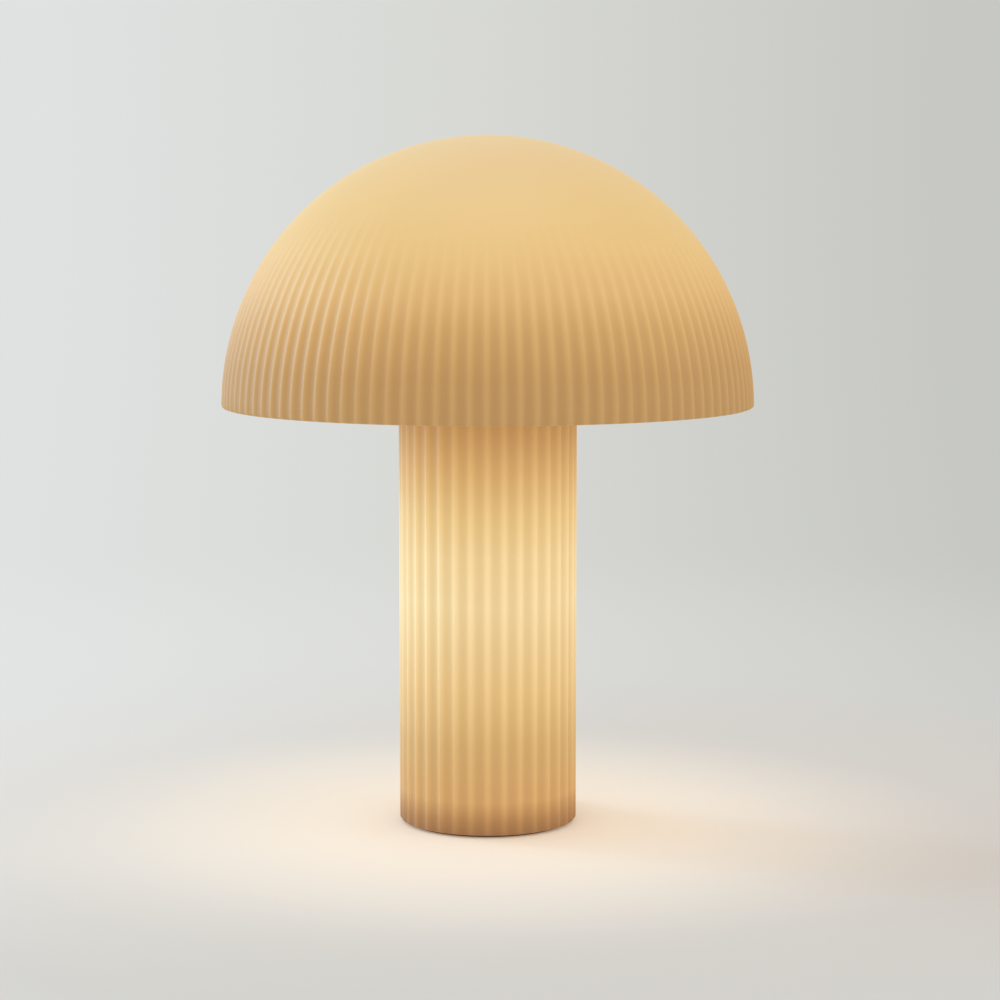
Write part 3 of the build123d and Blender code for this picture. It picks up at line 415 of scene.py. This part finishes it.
def piece_from(name, vertices, faces, materials, face_materials=None, smooth=True):
    """An object from vertex rows and lists of faces."""
    mesh = bpy.data.meshes.new(name)
    mesh.from_pydata(vertices.tolist(), [], faces)
    for material in materials:
        mesh.materials.append(material)
    if face_materials is not None:
        mesh.polygons.foreach_set("material_index", np.asarray(face_materials, np.int32))
    mesh.polygons.foreach_set("use_smooth", np.full(len(mesh.polygons), smooth))
    mesh.update()
    obj = bpy.data.objects.new(name, mesh)
    scene.collection.objects.link(obj)
    return obj


def ring_quads(rows, count):
    """Quads between closed rings of count points: a point, the next row's, and the two beside them."""
    here = np.arange(count)
    beside = (here + 1) % count
    row = np.arange(rows - 1)[:, None] * count
    return np.stack([row + here, row + count + here, row + count + beside, row + beside], 2).reshape(-1, 4)


# Shares of half a rib's width at which a rib has its columns, and the latitude where both walls meet the lip.
RIB_COLUMNS = (-1, -0.72, -0.48, -0.3, -0.14, 0, 0.14, 0.3, 0.48, 0.72)
LIP_LATITUDE = 0.6


def rib_swell(ribs, per_rib):
    """Azimuths round the front and the share of rib depth there: half of one plus cosine, sharpened.

    The columns stand closer together near each crest.
    """
    shares = np.array(per_rib)
    azimuth = (np.arange(ribs)[:, None] * 2 + shares[None, :]) * math.pi / ribs - math.pi / 2
    swell = ((1 + np.cos(math.pi * shares)) / 2) ** CREST_SHARPNESS
    return azimuth.ravel(), np.tile(swell, ribs)


def shade_profile():
    """Rows of crest radius, height, rib depth and inside, from the outer crown round the rim to the inner.

    Outside and inside are quarter ellipses, the rib depth fades by a smooth step between two latitudes,
    and the rim is rounded by a quarter ellipse from each wall to the wall's middle.
    """
    smooth, ribbed = np.linspace(90, FADE_END, 17)[:-1], np.linspace(FADE_END, LIP_LATITUDE, 30)
    outer = np.radians(np.concatenate([smooth, ribbed]))
    share = np.clip((np.degrees(outer) - FADE_START) / (FADE_END - FADE_START), 0, 1)
    depth = SHADE_RIB_DEPTH * (1 - share * share * (3 - 2 * share))
    rows = [np.stack([SHADE_RADIUS * np.cos(outer), RIM_Z + SHADE_RISE * np.sin(outer), depth, 0 * outer], 1)]
    middle = (SHADE_RADIUS - SHADE_RIB_DEPTH + CAVITY_RADIUS) / 2
    turn = np.radians(np.linspace(15, 90, 6))
    lip = rows[0][-1, 1] - RIM_Z
    rows.append(np.stack([middle + (SHADE_RADIUS - middle) * np.cos(turn), RIM_Z + lip * (1 - np.sin(turn)),
                          SHADE_RIB_DEPTH * np.cos(turn), 0 * turn], 1))
    back = turn[:-1][::-1]
    rows.append(np.stack([middle - (middle - CAVITY_RADIUS) * np.cos(back), RIM_Z + lip * (1 - np.sin(back)),
                          0 * back, 1 + 0 * back], 1))
    inner = np.radians(np.concatenate([[LIP_LATITUDE], np.linspace(6, 90, 14)]))
    rows.append(np.stack([CAVITY_RADIUS * np.cos(inner), RIM_Z + CAVITY_RISE * np.sin(inner), 0 * inner,
                          1 + 0 * inner], 1))
    return np.concatenate(rows)


def shade_mesh():
    """The dome as one closed surface: radius is the profile's, less rib depth times one minus the swell."""
    azimuth, swell = rib_swell(SHADE_RIBS, RIB_COLUMNS)
    profile = shade_profile()[1:-1]
    count = len(azimuth)
    radius = profile[:, :1] - profile[:, 2:3] * (1 - swell[None, :])
    height = np.repeat(profile[:, 1:2], count, 1)
    points = np.stack([radius * np.cos(azimuth), radius * np.sin(azimuth), height], 2)
    crowns = np.array([[0, 0, RIM_Z + SHADE_RISE], [0, 0, RIM_Z + CAVITY_RISE]])
    vertices = np.concatenate([points.reshape(-1, 3), crowns])
    quads = ring_quads(len(profile), count)
    here = np.arange(count)
    beside = (here + 1) % count
    last = (len(profile) - 1) * count
    top = np.stack([here, beside, np.full(count, len(vertices) - 2)], 1)
    under = np.stack([last + beside, last + here, np.full(count, len(vertices) - 1)], 1)
    inside = np.repeat(profile[1:, 3] > 0.5, count)
    kinds = np.concatenate([inside, np.zeros(count, bool), np.ones(count, bool)])
    faces = quads.tolist() + top.tolist() + under.tolist()
    return piece_from("shade_dome", vertices, faces, [shade_outside, shade_inside], kinds)


shade = shade_mesh()
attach(shade, "shade_body")
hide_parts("shade")


def lug_mesh():
    """Three lugs inside the rim: a grooved section carried from a sloped inner end out into the wall."""
    low, middle, high = LUG_Z, LUG_Z + LUG_HEIGHT / 2, LUG_Z + LUG_HEIGHT
    roof = low + LUG_GROOVE_DEPTH
    half, groove = LUG_WIDTH / 2, LUG_GROOVE_HALF
    section = np.array([
        (-half, low), (-groove, low), (-groove, roof), (groove, roof), (groove, low),
        (half, low), (half, middle), (half, high), (-half, high), (-half, middle),
    ])
    slope = np.clip(section[:, 1] - low - LUG_HEIGHT / 2, 0, None)
    inner_end = CAVITY_RADIUS - LUG_REACH + slope
    rise = (section[:, 1] - RIM_Z) / CAVITY_RISE
    wall_end = CAVITY_RADIUS * np.sqrt(1 - rise ** 2 - (section[:, 0] / CAVITY_RADIUS) ** 2) + SHADE_WALL / 2
    count = len(section)
    ends = np.concatenate([np.column_stack([inner_end, section]), np.column_stack([wall_end, section])])
    vertices, faces = [], []
    here = np.arange(count)
    beside = (here + 1) % count
    sides = np.stack([here, beside, count + beside, count + here], 1)
    caps = [list(range(count))[::-1], list(range(count, 2 * count))]
    for k, azimuth in enumerate(np.radians(ARM_AZIMUTHS)):
        cosine, sine = math.cos(azimuth), math.sin(azimuth)
        turn = np.array([[cosine, -sine, 0], [sine, cosine, 0], [0, 0, 1]])
        vertices.append(ends @ turn.T)
        faces += (sides + 2 * count * k).tolist() + [[v + 2 * count * k for v in cap] for cap in caps]
    return piece_from("shade_lugs", np.concatenate(vertices), faces, [shade_inside], smooth=False)


lugs = lug_mesh()
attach(lugs, "shade_body")


# ---------------------------------------------------------------- floor, backdrop, camera and light

def evenly(*colours):
    """Ramp stops at even steps from display colours."""
    return [(k / (len(colours) - 1), linear(*colour)) for k, colour in enumerate(colours)]


HALF_VIEW = 0.4
# Painted light: sweep and floor lighter to the left, the floor's front darker as painted shade, and a painted
# warm pool of the lamp's light.
SWEEP_LIGHT_PAINT = (224, 226, 226), (215, 216, 211), (199, 200, 195)
FLOOR_LIGHT_PAINT = (226, 220, 213), (218, 212, 204), (210, 203, 195)
FRONT_SHADE_PAINT, WARM_POOL_PAINT = linear(211, 206, 198), linear(236, 229, 219)
WARM_POOL_GLOW = (0.225, 0.180, 0.130, 1.0)


def studio_material(name, one_sided):
    """Pale floor that turns into a plainly bright sweep, lighter to the left; clear from behind if one-sided.

    Round the lamp the floor has a painted warm pool of its light, given as colour and as a little light of
    its own. Lighter to the left is painted light from the window side; the floor's front is painted darker,
    as shade.
    """
    material, n, shader, place = new_material(name)
    parts = n.add("ShaderNodeSeparateXYZ", {}, Vector=place)
    level = n.add("ShaderNodeCombineXYZ", {}, X=parts.outputs["X"], Y=parts.outputs["Y"])
    away = n.add("ShaderNodeVectorMath", {"operation": "LENGTH"})
    n.join(level.outputs[0], away.inputs[0])
    across = n.add("ShaderNodeMapRange", {}, Value=parts.outputs["X"], From_Min=-HALF_VIEW,
                   From_Max=HALF_VIEW).outputs["Result"]
    # Painted light: the sweep is lighter to the left, the side of the window lamps.
    wall = n.ramp(across, evenly(*SWEEP_LIGHT_PAINT))
    # The sweep a tenth paler towards white where it rises from the floor.
    wall = n.mix(n.spread(parts.outputs["Z"], 0.0, 0.07, 0.1, 0.0), wall, grey(1.0))
    # Painted light: the floor is lighter to the left, the side of the window lamps.
    ground = n.ramp(across, evenly(*FLOOR_LIGHT_PAINT))
    # Painted shade: the floor darker towards the front.
    near = n.spread(parts.outputs["Y"], -0.4, -0.08, 1.0, 0.0)
    ground = n.mix(near, ground, FRONT_SHADE_PAINT)
    # Painted pool of the lamp's warm light round its foot, as colour and as light.
    pool = n.spread(away.outputs["Value"], 0.03, 0.30, 1.0, 0.0)
    ground = n.mix(n.maths("MULTIPLY", pool, 0.8), ground, WARM_POOL_PAINT)
    ending = n.spread(away.outputs["Value"], 0.36, 0.55)
    n.join(n.mix(ending, ground, grey(0.0)), shader.inputs["Base Color"])
    light = n.mix(pool, grey(0.0), WARM_POOL_GLOW)
    n.join(n.mix(ending, light, wall), shader.inputs["Emission Color"])
    shader.inputs["Emission Strength"].default_value = 1.0
    shader.inputs["Roughness"].default_value = 0.8
    shader.inputs["Specular IOR Level"].default_value = 0.0
    if one_sided:
        behind = n.add("ShaderNodeNewGeometry").outputs["Backfacing"]
        n.join(n.maths("SUBTRACT", 1.0, behind), shader.inputs["Alpha"])
    return material


BOWL_SIDES = 128


def bowl_mesh(name, radius, height, material):
    """A profile of radii and heights turned about the Z axis, with its faces inwards and upwards."""
    count = BOWL_SIDES
    azimuth = np.linspace(0, 2 * math.pi, count, endpoint=False)
    points = np.stack([radius[:, None] * np.cos(azimuth), radius[:, None] * np.sin(azimuth),
                       np.repeat(height[:, None], count, 1)], 2)
    return piece_from(name, points.reshape(-1, 3), ring_quads(len(radius), count).tolist(), [material])


FLOOR_START, FLOOR_RADIUS, BEND_RADIUS, WALL_HEIGHT = 0.0002, 0.55, 0.45, 2.4
floor_rows = np.linspace(FLOOR_START, FLOOR_RADIUS, 24)
floor = bowl_mesh("floor", floor_rows, 0 * floor_rows, studio_material("studio_floor", False))
bend = np.linspace(0, math.pi / 2, 24)
sweep_radii = np.append(FLOOR_RADIUS + BEND_RADIUS * np.sin(bend), FLOOR_RADIUS + BEND_RADIUS)
sweep_heights = np.append(BEND_RADIUS * (1 - np.cos(bend)), WALL_HEIGHT)
sweep = bowl_mesh("sweep", sweep_radii, sweep_heights, studio_material("studio_sweep", True))
sweep.visible_shadow = False
sweep.visible_diffuse = False

CAMERA_PLACE, CAMERA_TILT, LENS_MM, SENSOR_MM = (0.0069, -1.5, 0.345), 6.11, 95.6, 36.0
camera_data = bpy.data.cameras.new("camera")
camera_data.lens = LENS_MM
camera_data.sensor_width = SENSOR_MM
camera = bpy.data.objects.new("camera", camera_data)
camera.location = CAMERA_PLACE
camera.rotation_euler = (math.radians(90 - CAMERA_TILT), 0.0, 0.0)
scene.collection.objects.link(camera)
scene.camera = camera


def soft_lamp(name, place, aim, size, power, colour):
    """A rectangular area lamp of this size and power in watts that points at aim."""
    data = bpy.data.lights.new(name, "AREA")
    data.shape = "RECTANGLE"
    data.size, data.size_y = size
    data.energy = power
    data.color = colour
    lamp = bpy.data.objects.new(name, data)
    lamp.location = place
    lamp.rotation_euler = (Vector(aim) - Vector(place)).to_track_quat("-Z", "Y").to_euler()
    scene.collection.objects.link(lamp)


soft_lamp("window", (-2.5, 1.15, 0.85), (0, 0, 0.25), (0.6, 1.7), 20.0, (0.44, 0.74, 1.0))
soft_lamp("pale_wall", (-2.4, 0.9, 0.8), (0, 0, 0.3), (2.4, 2.0), 33.0, (0.40, 0.73, 1.0))
soft_lamp("far_wall", (2.6, -0.6, 0.9), (0, 0, 0.25), (2.0, 1.6), 8.0, (1.0, 0.98, 0.94))
soft_lamp("ceiling", (0.0, -0.5, 3.0), (0, 0, 0.1), (2.5, 2.5), 16.0, (1.0, 1.0, 1.0))

AIR_COLOUR, AIR_STRENGTH = linear(252, 253, 255), 0.78
world = bpy.data.worlds.new("studio_air")
scene.world = world
world.use_nodes = True
air = world.node_tree.nodes["Background"]
air.inputs["Color"].default_value = AIR_COLOUR
air.inputs["Strength"].default_value = AIR_STRENGTH

scene.view_settings.view_transform = "Standard"
